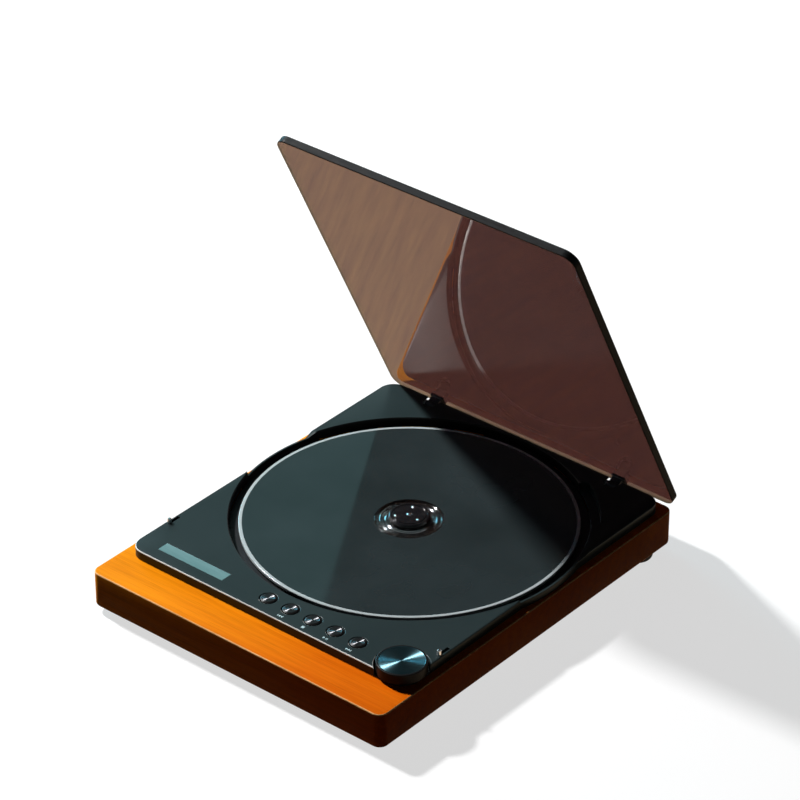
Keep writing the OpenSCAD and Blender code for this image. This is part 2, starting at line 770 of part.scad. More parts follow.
module board_screws() {
    color([0.6, 0.6, 0.62]) {
        at_each(main_post_at) board_screw(main_z + main_t);
        at_each(control_post_at) board_screw(board_z + board_t);
    }
}

module battery_pack() {
    color([0.75, 0.76, 0.78])
    translate([-cavity_x + 2, -56, cover_t + 0.1]) {
        linear_extrude(8) round_rect(0, 0, 20, 70, 1.5);
        translate([6, 70, 2]) cube([8, 1.2, 4]);
    }
}

module ribbon_cable() {
    color([0.85, 0.85, 0.82])
    translate([-16, 0, 0]) rotate([90, 0, -90]) linear_extrude(8) polygon([
        [-main_front - 2, main_z - 0.05], [-main_front - 2, cover_t + 0.1],
        [-cavity_front - 7, cover_t + 0.1], [-cavity_front - 7, board_z - 0.05],
        [-cavity_front - 7.3, board_z - 0.05], [-cavity_front - 7.3, cover_t + 0.4],
        [-main_front - 1.7, cover_t + 0.4], [-main_front - 1.7, main_z - 0.05]
    ]);
}

module headphone_jack() {
    color([0.08, 0.08, 0.09])
    difference() {
        union() {
            translate([socket_face, jack_y, jack_z]) rotate([0, 90, 0]) cylinder(r = jack_barrel_r, h = 6);
            translate([-cavity_x + 0.1, jack_y - 3.2, main_z + main_t + 0.02])
                cube([socket_face + jack_len + 1 + cavity_x, 6.4, 2 * (jack_z - main_z - main_t) - 0.04]);
        }
        translate([socket_face - 1, jack_y, jack_z]) rotate([0, 90, 0])
            cylinder(r = jack_r, h = jack_len + 1);
    }
}

module usb_socket() {
    color([0.75, 0.75, 0.77])
    translate([socket_face, usb_y, usb_z]) rotate([90, 0, 90]) {
        difference() {
            linear_extrude(usb_len) stadium(usb_size[0], usb_size[1]);
            translate([0, 0, -cut]) linear_extrude(usb_len - 1 + cut)
                stadium(usb_size[0] - 2 * usb_wall, usb_size[1] - 2 * usb_wall);
        }
        translate([-3.3, -0.35, 0.8]) cube([6.6, 0.7, usb_len - 1.2]);
    }
}

module control_board() {
    color([0.05, 0.25, 0.15])
    difference() {
        translate([0, 0, board_z]) linear_extrude(board_t) polygon([
            [-50, cavity_front + 0.4], [cavity_x - 0.8, cavity_front + 0.4],
            [cavity_x - 0.8, control_y + encoder_size / 2 + 0.3],
            [knob_x - encoder_size / 2 - 1.2, control_y + encoder_size / 2 + 0.3],
            [knob_x - encoder_size / 2 - 1.2, control_y + 3.1], [-50, control_y + 3.1]
        ]);
        translate([through_at[3][0], through_at[3][1], 0]) cylinder(r = boss_r + 0.3, h = 10);
        at_each(control_post_at) cylinder(r = board_screw_r + 0.2, h = 10);
    }
}

module tact_switches() {
    color([0.2, 0.2, 0.22])
    for (x = button_xs()) translate([x, control_y, board_z + board_t + 0.02]) {
        translate([-3, -3, 0]) cube([6, 6, switch_h]);
        cylinder(r = 1.5, h = switch_h + 0.2);
    }
}

module encoder_body() {
    color([0.5, 0.52, 0.54])
    translate([knob_x, control_y, board_z + board_t + 0.02]) difference() {
        translate([-encoder_size / 2, -encoder_size / 2, 0])
            cube([encoder_size, encoder_size, encoder_top - board_z - board_t]);
        translate([0, 0, 0.8]) cylinder(r = encoder_r + run_gap, h = 8);
    }
}

module encoder_plunger() {
    color([0.75, 0.75, 0.72])
    translate([knob_x, control_y, board_z + board_t + 1.4]) cylinder(r = encoder_r - 0.2, h = 0.55);
}

module encoder_shaft() {
    color([0.8, 0.8, 0.82])
    translate([knob_x, control_y, board_z + board_t + 2])
        cylinder(r = encoder_r, h = deck_top + knob_rise - 1.4 - board_z - board_t - 2);
}

// Knob and buttons

module volume_knob() {
    top = deck_top + knob_rise;
    low = knob_floor + press_travel + 0.1;
    color([0.1, 0.14, 0.16])
    translate([knob_x, control_y, 0]) difference() {
        rotate_extrude($fn = 96) polygon([
            [0, low], [knob_r - 0.4, low], [knob_r, low + 0.4],
            [knob_r, top - 0.3], [knob_r - 0.3, top], [knob_r - 0.9, top],
            [knob_r - 1.1, top - 0.12], [0, top - 0.12]
        ]);
        translate([0, 0, low - cut]) cylinder(r = encoder_r + fit_gap, h = top - 1.38 - low + cut);
    }
}

module push_button(x) {
    top = deck_top + button_rise;
    color([0.12, 0.13, 0.14])
    translate([x, control_y, 0]) union() {
        rotate_extrude() polygon([
            [0, button_skin - 0.5], [button_r, button_skin - 0.5], [button_r, top - 0.2],
            [button_r - 0.2, top], [button_r - 0.6, top], [button_r - 0.7, top - 0.08], [0, top - 0.08]
        ]);
        translate([0, 0, button_skin - seat_gap - flange_t]) cylinder(r = flange_r, h = flange_t);
        translate([0, 0, board_z + board_t + switch_h + 0.8])
            cylinder(r = button_stem_r, h = button_skin - seat_gap - board_z - board_t - switch_h - 0.9);
    }
}

module mode_button() push_button(button_xs()[0]);
module previous_button() push_button(button_xs()[1]);
module stop_button() push_button(button_xs()[2]);
module play_button() push_button(button_xs()[3]);
module next_button() push_button(button_xs()[4]);

// Lid and hinges. The lid is drawn closed about the hinge axis, then swung open

module swung() {
    translate([0, hinge_y, hinge_z]) rotate([-lid_open, 0, 0]) children();
}

module lid_panel() {
    color([0.35, 0.26, 0.22, 0.5])
    swung() translate([0, (lid_tail - lid_reach) / 2, lid_h])
        soft_slab(lid_w, lid_tail + lid_reach, lid_t, lid_r, 0.4, 0.4);
}

module hinge_arm(side) {
    color([0.3, 0.3, 0.32])
    swung() translate([side * hinge_x, 0, 0]) difference() {
        union() {
            translate([-arm_w / 2, 0, 0]) rotate([0, 90, 0]) cylinder(r = knuckle_r, h = arm_w);
            translate([-arm_w / 2, -1.2, 0]) cube([arm_w, 2.4, lid_h - pad_t]);
            translate([-2.8, -1.6, lid_h - pad_t - 0.05]) cube([5.6, 1.6 + pad_tail, pad_t]);
        }
        translate([-arm_w, 0, 0]) rotate([0, 90, 0]) cylinder(r = hinge_pin_r + run_gap, h = 2 * arm_w);
    }
}

module hinge_arm_left() hinge_arm(-1);
module hinge_arm_right() hinge_arm(1);

module hinge_bracket(side) {
    plate_t = 1.15;
    ear_x = arm_w / 2 + ear_gap;
    color([0.62, 0.63, 0.65])
    translate([side * hinge_x, 0, 0]) difference() {
        union() {
            translate([-6, hinge_y - 7.8, plinth_h - seat_gap / 2 - plate_t]) cube([12, 9.4, plate_t]);
            for (x = [-ear_x - ear_t, ear_x]) {
                translate([x, hinge_y, hinge_z]) rotate([0, 90, 0]) cylinder(r = ear_r, h = ear_t);
                translate([x, hinge_y - ear_r, plinth_h - plate_t])
                    cube([ear_t, 2 * ear_r - 0.1, hinge_z - plinth_h + plate_t]);
            }
        }
        translate([-ear_x, hinge_y - knuckle_r - 0.3, plinth_h - 2]) cube([2 * ear_x, 5, 4]);
        translate([-8, hinge_y, hinge_z]) rotate([0, 90, 0]) cylinder(r = hinge_pin_r + fit_gap, h = 16);
        for (t = [-1, 1]) translate([t * 4.2, hinge_y - 4.4, plinth_h - 3])
            cylinder(r = board_screw_r + 0.1, h = 4);
    }
}

module hinge_bracket_left() hinge_bracket(-1);
module hinge_bracket_right() hinge_bracket(1);

module hinge_pins() {
    color([0.85, 0.85, 0.87])
    for (s = [-1, 1]) translate([s * hinge_x - 3.6, hinge_y, hinge_z]) rotate([0, 90, 0])
        cylinder(r = hinge_pin_r, h = 7.2);
}

module hinge_screws() {
    color([0.6, 0.6, 0.62])
    at_each(hinge_screw_at()) {
        translate([0, 0, plinth_h - 2.1]) cylinder(r = 1.6, h = 0.85);
        translate([0, 0, plinth_h - 1.3]) cylinder(r = board_screw_r, h = 3.8);
    }
}

// Lid switch and rest pin

module lid_switch() {
    color([0.12, 0.12, 0.13])
    translate([-pin_x, pin_y, 7.3]) difference() {
        translate([-1.6, -3.2, 0]) cube([3.4, 6.4, plinth_h - 0.2 - 7.3]);
        translate([0, 0, 1.8]) cylinder(r = rest_pin_r + run_gap, h = 8);
    }
}

module rest_pin(z0) {
    translate([0, 0, z0]) cylinder(r = rest_pin_r, h = pin_top - 0.3 - z0);
    translate([0, 0, pin_top - 0.3]) cylinder(r1 = rest_pin_r, r2 = rest_pin_r - 0.3, h = 0.3);
}

module lid_switch_plunger() {
    color([0.9, 0.9, 0.9])
    translate([-pin_x, pin_y, 0]) rest_pin(10);
}

module lid_rest_pin() {
    color([0.9, 0.9, 0.9])
    translate([pin_x, pin_y, 0]) rest_pin(plinth_h + 0.85);
}

wood_plinth();
back_cover();
rubber_feet();
through_screws();
cover_screws();
deck_plate();
disc_well();
floor_screws();
display_window();
display_module();
traverse_chassis();
chassis_dampers();
damper_screws();
spindle_motor();
guide_rods();
sled_motor();
lead_screw();
optical_pickup();
lens_carrier();
objective_lens();
spindle_shaft();
turntable_hub();
hub_balls();
compact_disc();
main_board();
board_chips();
board_screws();
battery_pack();
ribbon_cable();
headphone_jack();
usb_socket();
control_board();
tact_switches();
encoder_body();
encoder_plunger();
encoder_shaft();
volume_knob();
mode_button();
previous_button();
stop_button();
play_button();
next_button();
lid_panel();
hinge_arm_left();
hinge_arm_right();
hinge_bracket_left();
hinge_bracket_right();
hinge_pins();
hinge_screws();
lid_switch();
lid_switch_plunger();
lid_rest_pin();
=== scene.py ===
import json
import math

import bmesh
import bpy
from mathutils import Matrix, Vector


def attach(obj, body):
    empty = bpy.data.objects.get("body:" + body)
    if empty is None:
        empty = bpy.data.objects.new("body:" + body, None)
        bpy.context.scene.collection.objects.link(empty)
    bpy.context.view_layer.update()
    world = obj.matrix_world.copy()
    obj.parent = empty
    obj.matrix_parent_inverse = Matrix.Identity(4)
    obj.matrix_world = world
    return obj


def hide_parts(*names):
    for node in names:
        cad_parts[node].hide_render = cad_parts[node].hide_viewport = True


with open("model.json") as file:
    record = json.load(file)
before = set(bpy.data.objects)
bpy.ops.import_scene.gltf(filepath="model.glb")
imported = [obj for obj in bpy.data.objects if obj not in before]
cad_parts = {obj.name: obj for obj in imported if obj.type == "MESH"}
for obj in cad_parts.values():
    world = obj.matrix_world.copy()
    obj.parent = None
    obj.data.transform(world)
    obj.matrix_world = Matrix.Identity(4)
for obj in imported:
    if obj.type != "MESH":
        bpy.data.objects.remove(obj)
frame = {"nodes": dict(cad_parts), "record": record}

# sizes below are in millimetres, as in the part's own source
mm = 0.001
scene = bpy.context.scene
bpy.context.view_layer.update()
record = frame["record"]
slotOf = {s["node"]: s["material_slot"] for s in record["subparts"]}
bodyOf = {n: b for b, names in record["behaviour"]["bodies"].items() for n in names}
scene.view_settings.view_transform = "Standard"
print("frame loaded:", len(slotOf), "nodes")


# camera at the photograph's viewing angle
cameraSpec = {
    "target": (-51.09, 55.78, 17.4),
    "distance": 1436.8,
    "azimuth": 39.98,
    "elevation": 32.16,
    "lens": 176.4,
    "farthest": 30000,
}


def towards(azimuth, elevation):
    a, e = math.radians(azimuth), math.radians(elevation)
    return Vector((math.sin(a) * math.cos(e), -math.cos(a) * math.cos(e), math.sin(e)))


def makeCamera(spec):
    data = bpy.data.cameras.new("camera")
    data.lens = spec["lens"]
    data.clip_end = spec["farthest"] * mm
    cam = bpy.data.objects.new("camera", data)
    scene.collection.objects.link(cam)
    way = towards(spec["azimuth"], spec["elevation"])
    cam.location = (Vector(spec["target"]) + spec["distance"] * way) * mm
    cam.rotation_euler = (-way).to_track_quat("-Z", "Y").to_euler()
    scene.camera = cam


makeCamera(cameraSpec)
print("camera placed")


# node helpers
noiseSpan = (0.3, 0.7)  # most of a noise texture's values lie in here
fullSpan = (0.0, 1.0)
pureWhite = (1.0, 1.0, 1.0)


class NodeTree:
    def __init__(self, owner):
        owner.use_nodes = True
        self.tree = owner.node_tree
        self.tree.nodes.clear()

    def add(self, kind, inputs=None, **settings):
        node = self.tree.nodes.new(kind)
        for key, value in settings.items():
            setattr(node, key, value)
        for key, value in (inputs or {}).items():
            self.feed(node.inputs[key], value)
        return node

    def feed(self, socket, value):
        if isinstance(value, bpy.types.NodeSocket):
            self.tree.links.new(value, socket)
        elif isinstance(value, tuple) and len(value) == 3 and len(socket.default_value) == 4:
            socket.default_value = (*value, 1)
        else:
            socket.default_value = value

    def noise(self, coords, scale, detail=4.0, rough=0.55, distortion=0.0):
        mapped = self.add("ShaderNodeMapping", {"Vector": coords, "Scale": scale})
        return self.add("ShaderNodeTexNoise", {
            "Vector": mapped.outputs[0], "Scale": 1.0, "Detail": detail,
            "Roughness": rough, "Distortion": distortion}).outputs["Fac"]

    def ramp(self, factor, places, colours):
        node = self.add("ShaderNodeValToRGB", {"Fac": factor})
        points = node.color_ramp.elements
        while len(points) < len(places):
            points.new(0.5)
        for point, place, colour in zip(points, places, colours):
            point.position = place
            point.color = (*colour, 1)
        return node.outputs["Color"]

    def tones(self, factor, pair):
        return self.ramp(factor, noiseSpan, pair)

    def between(self, factor, low, high, span=noiseSpan):
        return self.add("ShaderNodeMapRange", {
            "Value": factor, "From Min": span[0], "From Max": span[1],
            "To Min": low, "To Max": high}).outputs["Result"]

    def blend(self, factor, first, second, kind="MIX"):
        # sockets 6, 7 and 2 are the node's colours
        return self.add("ShaderNodeMix", {"Factor": factor, 6: first, 7: second},
                        data_type="RGBA", blend_type=kind).outputs[2]

    def math(self, operation, a, b):
        return self.add("ShaderNodeMath", {0: a, 1: b}, operation=operation).outputs[0]

    def vectorMath(self, operation, *values):
        return self.add("ShaderNodeVectorMath", dict(enumerate(values)), operation=operation)

    def bump(self, height, distance):
        return self.add("ShaderNodeBump", {"Height": height, "Distance": distance}).outputs["Normal"]


def surface(name, sockets, space="Object"):
    material = bpy.data.materials.new(name)
    tree = NodeTree(material)
    shader = tree.add("ShaderNodeBsdfPrincipled", sockets)
    tree.add("ShaderNodeOutputMaterial", {"Surface": shader.outputs[0]})
    coords = tree.add("ShaderNodeTexCoord").outputs[space]
    return material, tree, shader, coords


# plain floor, white to the eye, that keeps a soft shadow
stageSpec = {
    "floorHeight": -2.5,
    "floorSize": 12000,
    "floorCloud": (3, 3, 3),
    "floorTones": [(0.86, 0.86, 0.86), (0.88, 0.88, 0.88)],
    "floorWhite": 0.66,  # share of what is seen that the floor gives off by itself
    "floorBounce": (0.02, 0.008, 0.005),  # what it throws onto the object
    "floorMirrored": [(0.64, 0.49, 0.38), (0.98, 0.72, 0.44)],  # what shiny pieces mirror
    "mirroredGrain": {"scale": (300, 34, 1), "detail": 8, "rough": 0.68},
    "skyStops": (0.0, 0.16, 0.42),
    "skyColours": [(1.0, 1.0, 1.0), (1.0, 1.0, 1.0), (0.08, 0.11, 0.115)],
    "ambient": 0.022,
}


def seenRays(tree):
    path = tree.add("ShaderNodeLightPath")
    seen = tree.math("MAXIMUM", path.outputs["Is Camera Ray"], path.outputs["Is Glossy Ray"])
    return tree.math("MAXIMUM", seen, path.outputs["Is Transmission Ray"]), path


def makeFloor(spec):
    half = spec["floorSize"] / 2 * mm
    z = spec["floorHeight"] * mm
    mesh = bpy.data.meshes.new("floor")
    corners = [(-half, -half, z), (half, -half, z), (half, half, z), (-half, half, z)]
    mesh.from_pydata(corners, [], [(0, 1, 2, 3)])
    floor = bpy.data.objects.new("floor", mesh)
    scene.collection.objects.link(floor)
    material = bpy.data.materials.new("paleFloor")
    tree = NodeTree(material)
    seen, path = seenRays(tree)
    glossy = path.outputs["Is Glossy Ray"]
    coords = tree.add("ShaderNodeTexCoord").outputs["Object"]
    plain = tree.tones(tree.noise(coords, spec["floorCloud"]), spec["floorTones"])
    mirrored = tree.tones(tree.noise(coords, **spec["mirroredGrain"]), spec["floorMirrored"])
    paint = tree.blend(seen, spec["floorBounce"], tree.blend(glossy, plain, mirrored))
    matt = tree.add("ShaderNodeBsdfDiffuse", {"Color": paint})
    glow = tree.add("ShaderNodeEmission", {
        "Color": tree.blend(glossy, pureWhite, mirrored), "Strength": 1.0})
    mix = tree.add("ShaderNodeMixShader", {
        0: tree.math("MULTIPLY", seen, spec["floorWhite"]),
        1: matt.outputs[0], 2: glow.outputs[0]})
    tree.add("ShaderNodeOutputMaterial", {"Surface": mix.outputs[0]})
    mesh.materials.append(material)


def makeSky(spec):
    world = bpy.data.worlds.new("studio")
    scene.world = world
    tree = NodeTree(world)
    seen, path = seenRays(tree)
    way = tree.add("ShaderNodeTexCoord").outputs["Generated"]
    height = tree.add("ShaderNodeSeparateXYZ", {0: way}).outputs["Z"]
    sky = tree.ramp(height, spec["skyStops"], spec["skyColours"])
    shown = tree.blend(path.outputs["Is Camera Ray"], sky, pureWhite)
    strength = tree.between(seen, spec["ambient"], 1.0, fullSpan)
    back = tree.add("ShaderNodeBackground", {"Color": shown, "Strength": strength})
    tree.add("ShaderNodeOutputWorld", {"Surface": back.outputs[0]})


# way: from the object to the lamp; power in watts
lampSpecs = {
    "keyLamp": {"way": (-0.698, -0.001, 0.716), "distance": 1500, "size": 110, "power": 42.0,
                "colour": pureWhite},
    "fillLamp": {"way": (0.75, -0.9, 0.75), "distance": 1800, "size": 1200, "power": 0.12,
                 "colour": pureWhite},
    "windowLamp": {"way": (-0.774, 0.456, 0.44), "distance": 1500, "size": 1300, "power": 1.7,
                   "colour": (0.4, 0.86, 0.86)},
    "tealLamp": {"way": (-0.927, 0.327, 0.25), "distance": 1500, "size": 500, "power": 9.0,
                 "colour": (0.2, 0.75, 1.0)},
}


def softLamp(name, spec):
    data = bpy.data.lights.new(name, "AREA")
    data.shape = "DISK"
    data.size = spec["size"] * mm
    data.energy = spec["power"]
    data.color = spec["colour"]
    lamp = bpy.data.objects.new(name, data)
    scene.collection.objects.link(lamp)
    way = Vector(spec["way"]).normalized()
    lamp.location = way * spec["distance"] * mm
    lamp.rotation_euler = (-way).to_track_quat("-Z", "Y").to_euler()


makeFloor(stageSpec)
makeSky(stageSpec)
for name, spec in lampSpecs.items():
    softLamp(name, spec)
print("stage and lamps placed")


# finishes of one grain each. tones: two colours, grain: repeats per metre, detail: of the grain,
# rough: range, bump: depth in metres, shine: specular level, metal: 1 on bare metal
plainFinishes = {
    "well_black": {"tones": [(0.006, 0.007, 0.008), (0.013, 0.014, 0.016)], "grain": (2500, 2500, 2500),
                   "rough": (0.42, 0.55), "bump": 4e-6, "shine": 0.12},
    "module_black": {"tones": [(0.012, 0.012, 0.014), (0.022, 0.022, 0.025)], "grain": (1800, 1800, 1800),
                     "rough": (0.35, 0.5), "bump": 5e-6},
    "hinge_black": {"tones": [(0.03, 0.03, 0.034), (0.05, 0.05, 0.056)], "grain": (1500, 300, 1500),
                    "rough": (0.28, 0.4), "bump": 3e-6, "metal": 1.0},
    "back_sheet": {"tones": [(0.02, 0.02, 0.022), (0.034, 0.034, 0.037)], "grain": (1600, 1600, 1600),
                   "rough": (0.5, 0.65), "bump": 2.5e-5},
    "foot_rubber": {"tones": [(0.012, 0.012, 0.012), (0.024, 0.024, 0.024)], "grain": (900, 900, 900),
                    "rough": (0.75, 0.9), "bump": 3e-5},
    "damper_rubber": {"tones": [(0.03, 0.03, 0.034), (0.05, 0.05, 0.055)], "grain": (900, 900, 900),
                      "rough": (0.7, 0.85), "bump": 2e-5},
    "chassis_steel": {"tones": [(0.58, 0.6, 0.63), (0.72, 0.73, 0.75)], "grain": (60, 60, 60),
                      "rough": (0.22, 0.42), "bump": 4e-6, "metal": 1.0},
    "motor_can": {"tones": [(0.6, 0.6, 0.62), (0.7, 0.7, 0.72)], "grain": (120, 120, 900),
                  "rough": (0.2, 0.34), "bump": 3e-6, "metal": 1.0},
    "polished_steel": {"tones": [(0.74, 0.74, 0.76), (0.84, 0.84, 0.86)], "grain": (800, 800, 800),
                       "rough": (0.06, 0.12), "bump": 0, "metal": 1.0},
    "screw_steel": {"tones": [(0.5, 0.5, 0.53), (0.64, 0.64, 0.66)], "grain": (700, 700, 700),
                    "rough": (0.2, 0.36), "bump": 3e-6, "metal": 1.0},
    "socket_steel": {"tones": [(0.52, 0.53, 0.55), (0.66, 0.67, 0.69)], "grain": (1500, 400, 400),
                     "rough": (0.22, 0.38), "bump": 3e-6, "metal": 1.0},
    "screw_brass": {"tones": [(0.6, 0.46, 0.2), (0.74, 0.6, 0.3)], "grain": (900, 900, 900),
                    "rough": (0.18, 0.3), "bump": 2e-6, "metal": 1.0},
    "pickup_cast": {"tones": [(0.4, 0.41, 0.43), (0.52, 0.53, 0.55)], "grain": (1400, 1400, 1400),
                    "rough": (0.4, 0.55), "bump": 1.5e-5, "metal": 1.0},
    "battery_foil": {"tones": [(0.6, 0.61, 0.63), (0.72, 0.73, 0.75)], "grain": (160, 90, 160),
                     "rough": (0.25, 0.45), "bump": 9e-5, "metal": 1.0},
    "ribbon_white": {"tones": [(0.7, 0.7, 0.67), (0.8, 0.8, 0.77)], "grain": (1000, 30, 30),
                     "rough": (0.4, 0.5), "bump": 6e-6},
    "window_clear": {"tones": [(0.085, 0.17, 0.175), (0.13, 0.235, 0.24)], "grain": (45, 220, 140),
                     "rough": (0.1, 0.18), "bump": 1e-6},
    "print_pale": {"tones": [(0.3, 0.42, 0.44), (0.42, 0.54, 0.56)], "grain": (2500, 2500, 2500),
                   "rough": (0.45, 0.6), "bump": 2e-6},
    # this script's own finishes, beside the slots of the record
    # near-black finish: the own colour of the knob's and buttons' sides, and painted shade on their rims
    # and on the walls of the disc well
    "blackSideAndShade": {"tones": [(0.004, 0.004, 0.004), (0.009, 0.008, 0.008)], "grain": (40, 40, 2600),
                  "rough": (0.3, 0.4), "bump": 2e-6, "shine": 0.08},
    "hubBlack": {"tones": [(0.004, 0.004, 0.005), (0.009, 0.009, 0.01)], "grain": (600, 600, 600),
                 "rough": (0.12, 0.22), "bump": 1e-6, "shine": 0.35},
    # paler finishes for the top edges of the wood and the front edge of the deck: painted highlights where
    # light catches them
    "woodEdgeHighlight": {"tones": [(0.62, 0.3, 0.09), (0.85, 0.5, 0.22)], "grain": (90, 1500, 1500),
                 "rough": (0.3, 0.4), "bump": 4e-6, "shine": 0.1},
    "deckEdgeHighlight": {"tones": [(0.46, 0.47, 0.45), (0.62, 0.63, 0.61)], "grain": (160, 160, 900),
                 "rough": (0.4, 0.5), "bump": 2e-6, "shine": 0.3},
    # near-black finish for the lid's edges with faint teal specks: painted shade and painted glints in
    # place of the clear plate's own look
    "lidEdgeShade": {"tones": [(0.003, 0.002, 0.002), (0.012, 0.014, 0.015)], "grain": (260, 900, 900),
                "rough": (0.3, 0.6), "bump": 2e-5, "shine": 0.03},
    "discMirror": {"tones": [(0.6, 0.62, 0.66), (0.7, 0.72, 0.75)], "grain": (30, 30, 30),
                   "rough": (0.04, 0.08), "bump": 0, "metal": 1.0},
    "discPrint": {"tones": [(0.011, 0.017, 0.018), (0.018, 0.026, 0.028)], "grain": (26, 26, 26),
                  "detail": 3.0, "rough": (0.07, 0.1), "bump": 0, "shine": 0.4},
}


def plainFinish(name, spec):
    material, tree, shader, coords = surface(name, {
        "Metallic": spec.get("metal", 0.0), "Specular IOR Level": spec.get("shine", 0.5)})
    grain = tree.noise(coords, spec["grain"], spec.get("detail", 4.0))
    tree.feed(shader.inputs["Base Color"], tree.tones(grain, spec["tones"]))
    tree.feed(shader.inputs["Roughness"], tree.between(grain, *spec["rough"]))
    if spec["bump"]:
        tree.feed(shader.inputs["Normal"], tree.bump(grain, spec["bump"]))
    return material


# stained wood: streaks and patches of tone, turning from yellow to orange across the object; that turn is
# painted light, lit on the left where the key lamp stands and shaded on the right
woodSpec = {
    "yellow": [(0.6, 0.18, 0.001), (0.76, 0.255, 0.002), (0.88, 0.34, 0.003)],
    "orange": [(0.4, 0.062, 0.001), (0.54, 0.095, 0.001), (0.66, 0.14, 0.002)],
    "toneStops": (0.34, 0.5, 0.68),
    "litToShadedSpan": (-65, 30),
    "streaks": {"scale": (11, 420, 420), "detail": 6, "rough": 0.6, "distortion": 0.4},
    "fibres": {"scale": (60, 3200, 3200), "detail": 3, "rough": 0.6},
    "patches": {"scale": (9, 22, 22), "detail": 2, "rough": 0.5},
    "patchShare": 0.6,
    "fibreShade": (0.8, 1.0),
    "fibreSpan": (0.32, 0.5),
    "rough": (0.38, 0.5),
    "bump": 8e-6,
    "shine": 0.03,
    "sheen": (1.0, 0.35, 0.12),
    "lacquer": 0.02,
    "lacquerRough": 0.22,
}


def woodFinish(spec):
    material, tree, shader, coords = surface("stainedWood", {
        "Coat Weight": spec["lacquer"], "Coat Roughness": spec["lacquerRough"],
        "Specular IOR Level": spec["shine"], "Specular Tint": spec["sheen"]})
    streaks = tree.noise(coords, **spec["streaks"])
    fibres = tree.noise(coords, **spec["fibres"])
    patches = tree.noise(coords, **spec["patches"])
    share = spec["patchShare"]
    mixed = tree.math("ADD", tree.math("MULTIPLY", streaks, 1 - share),
                      tree.math("MULTIPLY", patches, share))
    yellow = tree.ramp(mixed, spec["toneStops"], spec["yellow"])
    orange = tree.ramp(mixed, spec["toneStops"], spec["orange"])
    across = tree.add("ShaderNodeSeparateXYZ", {0: coords}).outputs["X"]
    # painted light: yellow on the lit left side turns to orange on the shaded right side
    left, right = spec["litToShadedSpan"]
    toneWithPaintedLight = tree.blend(tree.between(across, *fullSpan, (left * mm, right * mm)), yellow, orange)
    fibreShade = tree.between(fibres, *spec["fibreShade"], spec["fibreSpan"])
    tree.feed(shader.inputs["Base Color"], tree.blend(1.0, toneWithPaintedLight, fibreShade, "MULTIPLY"))
    tree.feed(shader.inputs["Roughness"], tree.between(streaks, *spec["rough"]))
    tree.feed(shader.inputs["Normal"], tree.bump(fibreShade, spec["bump"]))
    return material


deckSpec = {
    "tones": [(0.01, 0.018, 0.019), (0.016, 0.025, 0.026)], "rough": (0.3, 0.36), "shine": 0.15,
    "blast": {"scale": (3600, 3600, 3600), "detail": 2, "rough": 0.5}, "bump": 3e-6,
    "cloud": {"scale": (22, 22, 22), "detail": 3, "rough": 0.5},
}


def deckFinish(spec):
    material, tree, shader, coords = surface("satinDeck", {"Specular IOR Level": spec["shine"]})
    blast = tree.noise(coords, **spec["blast"])
    cloud = tree.noise(coords, **spec["cloud"])
    tree.feed(shader.inputs["Base Color"], tree.tones(cloud, spec["tones"]))
    tree.feed(shader.inputs["Roughness"], tree.between(blast, *spec["rough"]))
    tree.feed(shader.inputs["Normal"], tree.bump(blast, spec["bump"]))
    return material


# concentric tool marks about the piece's own axis, with a streak of light across them
turnedSpecs = {
    "knob_aluminium": {"name": "turnedKnob", "rings": 260.0,
                       "tones": [(0.025, 0.07, 0.088), (0.115, 0.21, 0.24)]},
    "button_aluminium": {"name": "turnedButton", "rings": 120.0,
                         "tones": [(0.04, 0.04, 0.044), (0.2, 0.2, 0.21)]},
}
turnedCommon = {"rough": 0.42, "streak": 1.0, "streakTurn": 0.25, "detail": 3.0}


def turnedFinish(spec, common):
    material, tree, shader, coords = surface(spec["name"], {
        "Metallic": 1.0, "Roughness": common["rough"], "Anisotropic": common["streak"],
        "Anisotropic Rotation": common["streakTurn"]}, "Generated")
    around = tree.vectorMath("SUBTRACT", coords, (0.5, 0.5, 0.5)).outputs[0]
    flat = tree.vectorMath("MULTIPLY", around, (1, 1, 0)).outputs[0]
    reach = tree.vectorMath("LENGTH", flat).outputs["Value"]
    rings = tree.add("ShaderNodeTexNoise", {
        "W": tree.math("MULTIPLY", reach, spec["rings"]), "Scale": 1.0, "Detail": common["detail"]},
        noise_dimensions="1D").outputs["Fac"]
    tree.feed(shader.inputs["Base Color"], tree.tones(rings, spec["tones"]))
    tangent = tree.add("ShaderNodeTangent", direction_type="RADIAL", axis="Z")
    tree.feed(shader.inputs["Tangent"], tangent.outputs[0])
    return material


smokeSpec = {
    "smoke": (0.085, 0.042, 0.05), "sheen": (1.0, 0.72, 0.52), "index": 1.49,
    "haze": {"scale": (9, 9, 9), "detail": 3}, "rough": (0.0, 0.012),
}


def smokeFinish(spec):
    material, tree, shader, coords = surface("smokeLid", {
        "Base Color": spec["smoke"], "Transmission Weight": 1.0, "IOR": spec["index"],
        "Specular Tint": spec["sheen"]})
    haze = tree.noise(coords, **spec["haze"])
    tree.feed(shader.inputs["Roughness"], tree.between(haze, *spec["rough"]))
    return material


# clear: share of the light that goes through, dim: the darker tone's share of the colour
clearSpecs = {
    "disc_clear": {"name": "discClear", "colour": (0.9, 0.93, 0.94), "clear": 1.0, "rough": 0.1},
    "lens_clear": {"name": "lensClear", "colour": (0.5, 0.65, 0.95), "clear": 0.9, "rough": 0.02},
    "discRim": {"name": "discRim", "colour": (0.6, 0.66, 0.67), "clear": 0.4, "rough": 0.15},
}
clearCommon = {"index": 1.55, "cloud": (400, 400, 400), "dim": 0.88, "roughSpan": (0.7, 1.3)}


